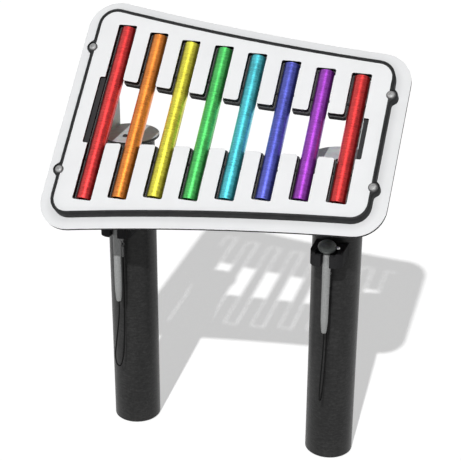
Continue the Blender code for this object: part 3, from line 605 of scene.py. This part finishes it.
def make_beaters(grip, rubber, steel, dull):
    for sign, word in ((-1, "left"), (1, "right")):
        body = "beater_" + word
        here = at(sign * POST_X, POST_Y - BEATER_Y, HEAD_Z)
        low = math.asin(HEAD_SEAT / HEAD_HALF_H)
        prof = [(7.3, -HEAD_SEAT)]
        n = 30
        for k in range(n + 1):
            t = -low + (low + math.pi / 2) * k / n
            r, z = HEAD_R * math.cos(t), HEAD_HALF_H * math.sin(t)
            if abs(t) < 0.02:
                r -= 0.25
            prof.append((r if k < n else 0.0, z))
        prof += [(0.0, HANDLE_TOP + GAP - HEAD_Z), (7.3, HANDLE_TOP + GAP - HEAD_Z)]
        bm = bmesh.new()
        turn(bm, prof, 72, here)
        ob = plain_object("mallet_head_" + word, bm)
        cross = [(0.0, -15.3), (2.3, -15.3), (2.3, 40.0), (0.0, 40.0)]
        across = here @ Matrix.Rotation(math.pi / 2, 4, "Y")
        drill(ob, [(cross, 24, across)])
        settle(ob, rubber, body, "beater_head_" + word, 40.0)
        top = [(0.0, HANDLE_TOP), (6.2, HANDLE_TOP), (7.0, HANDLE_TOP - 1.0), (7.0, 619.0), (8.5, 618.4)]
        grip_line = spread([(9.2, 617.2), (9.4, 610.0), (9.4, 600.0), (9.9, 578.0), (9.8, 555.0), (9.5, 530.0), (9.4, 480.0),
                            (9.15, 440.0), (8.5, 426.0), (6.95, 406.5), (6.2, 402.2)], 3.0)
        end = [(5.9, HANDLE_TIP + 1.3), (5.3, HANDLE_TIP + 0.5), (4.5, HANDLE_TIP + 0.1), (2.2, HANDLE_TIP), (2.0, HANDLE_TIP + 0.8), (0.0, HANDLE_TIP + 0.8)]
        shape = [(r, z - HEAD_Z) for r, z in top + grip_line + end]
        bm = bmesh.new()
        turn(bm, shape, 64, here)
        ob = plain_object("mallet_grip_" + word, bm)
        drill(ob, [(cross, 24, across)])
        settle(ob, grip, body, "beater_handle_" + word)
        knob, r = 27.0, 4.6
        prof = [(0.0, -15.0), (1.7, -15.0), (2.0, -14.7), (2.0, knob - r * 0.9)]
        prof += [(r * math.cos(t), knob + r * math.sin(t)) for t in [math.radians(-64.2 + 154.2 * k / 14) for k in range(1, 14)]]
        prof += [(0.0, knob + r)]
        solid("mallet_pin_" + word, [(prof, across)], steel, body, "beater_pin_" + word, 32)
        # tether end: cone under the fork, split ring, crimped sleeve
        x, y, z = sign * POST_X, POST_Y - ANCHOR_Y, FORK_Z0
        cone = [(0.0, z + 8.0), (2.2, z + 8.0), (2.5, z + 7.6), (2.5, z - GAP), (4.2, z - GAP), (4.6, z - 0.8), (4.8, z - 3.0), (4.6, 566.0), (4.3, 562.4), (3.9, 561.2)]
        cone += [(1.6, 552.2), (1.1, 551.4), (0.0, 551.4)]
        solid("tether_cone_" + word, [(cone, at(x, y, 0)), (ring_profile(4.0, 1.1), at(x, y, 548.0, "Y"))], dull,
              "stand", "tether_anchor_" + word, 40)
        sleeve = [(0.0, 511.0), (2.3, 511.0), (2.8, 511.4), (3.0, 512.4)]
        for k in range(3):
            c = 517.5 + 7.2 * k
            sleeve += [(3.0, c - 2.4), (2.55, c - 1.2), (2.5, c), (2.55, c + 1.2), (3.0, c + 2.4)]
        sleeve += [(3.0, 537.0), (2.4, 539.3), (1.4, 539.8), (0.0, 539.8)]
        solid("crimp_" + word, [(sleeve, at(x, y, 0)), (ring_profile(4.0, 1.1), at(x, y, 542.5, "X"))], dull,
              "stand", "tether_sleeve_" + word, 40)


def make_welds(mat):
    """Fillet welds along both sides of each bracket's fin."""
    for sign, word in ((-1, "left"), (1, "right")):
        bm = bmesh.new()
        z0 = POST_H + GAP + DISC_T - 0.6
        y0, y1 = POST_Y - 44.0, POST_Y + 58.0
        n, around = 170, 7
        for side in (-1, 1):
            u0 = sign * FIN_U + side * (FIN_T / 2 - 0.6)
            # the plate's edge bounds how far the bead can run
            reach = [y for y in (y0, y1)]
            rings = []
            for k in range(n + 1):
                y = reach[0] + (reach[1] - reach[0]) * k / n
                if math.hypot(abs(u0 + side * 4.0) - POST_X, y - POST_Y) > DISC_R - 3.0:
                    continue
                size = 4.2 + 0.35 * abs(math.sin(k * 0.9)) + 0.3 * math.sin(k * 0.13 + side)
                ring = [bm.verts.new((u0, y, z0))]
                for j in range(around + 1):
                    t = (math.pi / 2) * j / around
                    r = size * (0.80 + 0.10 * math.sin(2 * t))
                    ring.append(bm.verts.new((u0 + side * r * math.cos(t), y, z0 + r * math.sin(t))))
                rings.append(ring)
            for a, b in zip(rings, rings[1:]):
                for j in range(len(a)):
                    m = (j + 1) % len(a)
                    bm.faces.new((a[j], a[m], b[m], b[j]))
            if rings:
                bm.faces.new(rings[0])
                bm.faces.new(list(reversed(rings[-1])))
        settle(plain_object("weld_beads_" + word, bm), mat, "stand", None, 60.0)


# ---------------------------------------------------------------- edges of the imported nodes
def weld_group(angle):
    """Geometry nodes: weld the split vertices, drop the baked normals, smooth
    shading with edges sharper than the angle kept sharp."""
    name = "weld_%d" % angle
    g = bpy.data.node_groups.get(name)
    if g is not None:
        return g
    g = bpy.data.node_groups.new(name, "GeometryNodeTree")
    g.interface.new_socket("Geometry", in_out="INPUT", socket_type="NodeSocketGeometry")
    g.interface.new_socket("Geometry", in_out="OUTPUT", socket_type="NodeSocketGeometry")
    n_in, n_out = g.nodes.new("NodeGroupInput"), g.nodes.new("NodeGroupOutput")
    weld = g.nodes.new("GeometryNodeMergeByDistance")
    weld.inputs["Distance"].default_value = 2e-6
    drop = g.nodes.new("GeometryNodeRemoveAttribute")
    drop.inputs["Name"].default_value = "custom_normal"
    soft = g.nodes.new("GeometryNodeSetShadeSmooth")
    soft.domain = "FACE"
    soft.inputs["Shade Smooth"].default_value = True
    hard = g.nodes.new("GeometryNodeSetShadeSmooth")
    hard.domain = "EDGE"
    hard.inputs["Shade Smooth"].default_value = False
    ang = g.nodes.new("GeometryNodeInputMeshEdgeAngle")
    more = g.nodes.new("FunctionNodeCompare")
    more.data_type, more.operation = "FLOAT", "GREATER_THAN"
    more.inputs[1].default_value = math.radians(angle)
    link = g.links.new
    link(n_in.outputs[0], weld.inputs["Geometry"])
    link(weld.outputs["Geometry"], drop.inputs["Geometry"])
    link(drop.outputs["Geometry"], soft.inputs["Geometry"])
    link(soft.outputs["Geometry"], hard.inputs["Geometry"])
    link(ang.outputs["Unsigned Angle"], more.inputs[0])
    link(more.outputs["Result"], hard.inputs["Selection"])
    link(hard.outputs["Geometry"], n_out.inputs[0])
    return g


def polish(name, bevel=0.0, segments=2, angle=32):
    o = NODES[name]
    mod = o.modifiers.new("weld", "NODES")
    mod.node_group = weld_group(180 if bevel else angle)
    if bevel:
        flat = o.modifiers.new("flat", "DECIMATE")
        flat.decimate_type = "DISSOLVE"
        flat.angle_limit = math.radians(0.4)
        b = o.modifiers.new("edge", "BEVEL")
        b.width = bevel * MM
        b.segments = segments
        b.limit_method = "ANGLE"
        b.angle_limit = math.radians(40)
        b.use_clamp_overlap = True
        again = o.modifiers.new("shade", "NODES")
        again.node_group = weld_group(50)
        w = o.modifiers.new("normals", "WEIGHTED_NORMAL")
        w.keep_sharp = True
        w.weight = 100


# ---------------------------------------------------------------- floor and light
def make_stage():
    me = bpy.data.meshes.new("floor")
    bm = bmesh.new()
    bmesh.ops.create_grid(bm, x_segments=8, y_segments=8, size=30.0)
    bmesh.ops.translate(bm, vec=(0.0, 0.0, -0.0002), verts=bm.verts)
    bm.to_mesh(me)
    bm.free()
    floor = bpy.data.objects.new("floor", me)
    bpy.context.scene.collection.objects.link(floor)
    m = Mat("floor_paper", Roughness=0.9, Specular_IOR_Level=0.05)
    m.bsdf.inputs["Emission Color"].default_value = (1.0, 1.0, 1.0, 1.0)
    path = m.nt.nodes.new("ShaderNodeLightPath")
    glow = m.span(path.outputs["Is Diffuse Ray"], 0.0, 1.0, FLOOR_GLOW, 0.0)
    base = m.ramp(m.noise(m.pos, 0.004, 3.0), (0.3, (FLOOR_TONE - 0.008,) * 3), (0.7, (FLOOR_TONE + 0.008,) * 3))
    me.materials.append(m.set(Base_Color=base, Emission_Strength=glow))

    world = bpy.data.worlds.new("studio")
    bpy.context.scene.world = world
    world.use_nodes = True
    nt = world.node_tree
    bg = nt.nodes["Background"]
    bg.inputs["Strength"].default_value = 1.0
    tex = nt.nodes.new("ShaderNodeTexCoord")
    path = nt.nodes.new("ShaderNodeLightPath")
    dot = nt.nodes.new("ShaderNodeVectorMath")
    dot.operation = "DOT_PRODUCT"
    dot.inputs[1].default_value = Vector((0.55, -0.37, 0.75)).normalized()
    ramp = nt.nodes.new("ShaderNodeMapRange")
    ramp.interpolation_type = "SMOOTHSTEP"
    for k, v in zip((1, 2, 3, 4), (0.35, 0.98, SKY_PALE, SKY_DARK)):
        ramp.inputs[k].default_value = v
    mix = nt.nodes.new("ShaderNodeMix")
    mix.data_type = "RGBA"
    mix.inputs[7].default_value = (SKY_FILL, SKY_FILL, SKY_FILL, 1.0)
    nt.links.new(tex.outputs["Generated"], dot.inputs[0])
    nt.links.new(dot.outputs["Value"], ramp.inputs[0])
    nt.links.new(ramp.outputs[0], mix.inputs[6])
    nt.links.new(path.outputs["Is Diffuse Ray"], mix.inputs[0])
    nt.links.new(mix.outputs[2], bg.inputs["Color"])

    sun = bpy.data.lights.new("key", "SUN")
    sun.energy = SUN_POWER
    sun.angle = math.radians(1.0)
    key = bpy.data.objects.new("key", sun)
    key.rotation_mode = "QUATERNION"
    key.rotation_quaternion = Vector((0.0745, -1.008, 0.965)).to_track_quat("Z", "Y")
    key.location = (0.0, -2.0, 3.0)
    bpy.context.scene.collection.objects.link(key)
    bpy.context.scene.view_settings.view_transform = "Standard"


FLOOR_TONE, FLOOR_GLOW = 0.72, 0.49
SKY_FILL, SKY_PALE, SKY_DARK = 0.12, 0.55, 0.22
SUN_POWER = 2.9


# ---------------------------------------------------------------- tethers
def smooth_path(points, spacing):
    """Evenly spaced points on a Catmull-Rom curve through the given points."""
    pts = [Vector(p) for p in points]
    ext = [pts[0] * 2 - pts[1]] + pts + [pts[-1] * 2 - pts[-2]]
    dense = []
    for i in range(1, len(ext) - 2):
        p0, p1, p2, p3 = ext[i - 1], ext[i], ext[i + 1], ext[i + 2]
        for k in range(24):
            t = k / 24.0
            dense.append(0.5 * ((2 * p1) + (p2 - p0) * t + (2 * p0 - 5 * p1 + 4 * p2 - p3) * t * t
                                + (3 * p1 - p0 - 3 * p2 + p3) * t * t * t))
    dense.append(pts[-1])
    total = sum((b - a).length for a, b in zip(dense, dense[1:]))
    count = max(2, int(round(total / spacing)))
    out, want, run = [dense[0]], total / count, 0.0
    for a, b in zip(dense, dense[1:]):
        seg = (b - a).length
        while run + seg >= want * len(out) and len(out) < count:
            out.append(a.lerp(b, (want * len(out) - run) / seg))
        run += seg
    out.append(dense[-1])
    return out, total


TETHER_ROUTE = {
    "left": [(0.0, -ANCHOR_Y, 511.0 - GAP), (0.0, -ANCHOR_Y, 470.0), (-0.3, -73.0, 380.0), (-1.5, -76.0, 290.0),
             (-3.0, -83.0, 225.0), (-8.0, -94.0, 197.0), (-13.0, -106.0, 208.0), (-13.5, -113.0, 240.0),
             (-9.0, -112.0, 280.0), (-3.5, -109.0, 330.0), (0.0, -BEATER_Y, 370.0), (0.0, -BEATER_Y, HANDLE_TIP - GAP)],
    "right": [(0.0, -ANCHOR_Y, 511.0 - GAP), (0.0, -ANCHOR_Y, 470.0), (0.0, -74.0, 380.0), (-0.5, -80.0, 290.0),
              (-1.5, -90.0, 230.0), (-3.0, -101.0, 203.0), (-4.0, -112.0, 207.0), (-3.5, -116.0, 235.0),
              (-2.0, -113.0, 285.0), (-0.5, -109.5, 335.0), (0.0, -BEATER_Y, 370.0), (0.0, -BEATER_Y, HANDLE_TIP - GAP)],
}


def tube_mesh(name, pts, ring_fn, closed_ends=True):
    """Mesh tube along pts (metres).  ring_fn(k, s) gives the cross-section's
    (x, y) points, k being the ring's index and s its arc length."""
    bm = bmesh.new()
    tang = []
    for i in range(len(pts)):
        a, b = pts[max(0, i - 1)], pts[min(len(pts) - 1, i + 1)]
        tang.append((b - a).normalized())
    side = tang[0].cross(Vector((1.0, 0.0, 0.0)))
    if side.length < 0.1:
        side = tang[0].cross(Vector((0.0, 1.0, 0.0)))
    side.normalize()
    rings, s = [], 0.0
    for i, p in enumerate(pts):
        if i:
            s += (p - pts[i - 1]).length
            q = tang[i - 1].rotation_difference(tang[i])
            side = (q @ side).normalized()
        other = tang[i].cross(side).normalized()
        rings.append([bm.verts.new(p + side * x + other * y) for x, y in ring_fn(i, s)])
    n = len(rings[0])
    for a, b in zip(rings, rings[1:]):
        for k in range(n):
            m = (k + 1) % n
            bm.faces.new((a[k], a[m], b[m], b[k]))
    if closed_ends:
        bm.faces.new(list(reversed(rings[0])))
        bm.faces.new(rings[-1])
    bmesh.ops.recalc_face_normals(bm, faces=bm.faces)
    me = bpy.data.meshes.new(name)
    bm.to_mesh(me)
    bm.free()
    me.shade_smooth()
    me.set_sharp_from_angle(angle=math.radians(50.0))
    return me


def make_tethers():
    cover = cord_material()
    for sign, word in ((-1, "left"), (1, "right")):
        x = sign * POST_X
        route = [(x + a, POST_Y + b, c) for a, b, c in TETHER_ROUTE[word]]
        pts, total = smooth_path(route, 1.25)
        pts = [p * MM for p in pts]

        def strand_ring(k, s, n=18):
            """Covered wire rope: six shallow strands twisting along the line."""
            turn = 2.0 * math.pi * s / (16.0 * MM)
            out = []
            for j in range(n):
                t = 2.0 * math.pi * j / n
                r = CORD_D / 2 * MM * (0.94 + 0.06 * math.cos(6.0 * (t - turn)))
                out.append((r * math.cos(t), r * math.sin(t)))
            return out

        me = tube_mesh("tether_cord_" + word, pts, strand_ring)
        me.materials.append(cover)
        ob = bpy.data.objects.new("tether_cord_" + word, me)
        bpy.context.scene.collection.objects.link(ob)
        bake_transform(ob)
        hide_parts("beater_tether_" + word)
        print("tether", word, round(total, 1), "mm")


# ---------------------------------------------------------------- put it together
make_camera()
make_stage()
steel = steel_material("bolt_satin", 0.40, (0.42, 0.58), 0.35)
bright = steel_material("knob_satin", 0.62, (0.24, 0.36))
dull = steel_material("crimp_grey", 0.165, (0.45, 0.60), 0.4)
dark = steel_material("screw_black", 0.012, (0.45, 0.60), 0.2)
zinc = zinc_material()
make_beaters(handle_material(), head_material(), bright, dull)
make_tethers()
make_tubes(rubber_material())
make_bolts(steel, dark, dome_material())
make_welds(zinc)

white = (0.765, 0.771, 0.779)
assign(sheet_material("board_upper", SHEET_T, 0.15, white, 0.8, floors=True), "comb_sheet_upper")
assign(black_sheet_material(), "comb_sheet_lower")
assign(sheet_material("board_frame", BASE_TOP, -SHEET_T, tuple(c * 0.97 for c in white), 0.5, True), "base_plate")
assign(rim_material(), "edge_band")
assign(post_material(), "post_left", "post_right")
assign(fork_material(), "beater_fork_left", "beater_fork_right")
assign(zinc, "bracket_left", "bracket_right")
for n in ("comb_sheet_upper", "comb_sheet_lower", "base_plate"):
    polish(n, 0.45)
polish("edge_band", 0.0, angle=40)
for w in ("left", "right"):
    polish("post_" + w, 0.0)
    polish("bracket_" + w, 0.6)
    polish("beater_fork_" + w, 0.9)
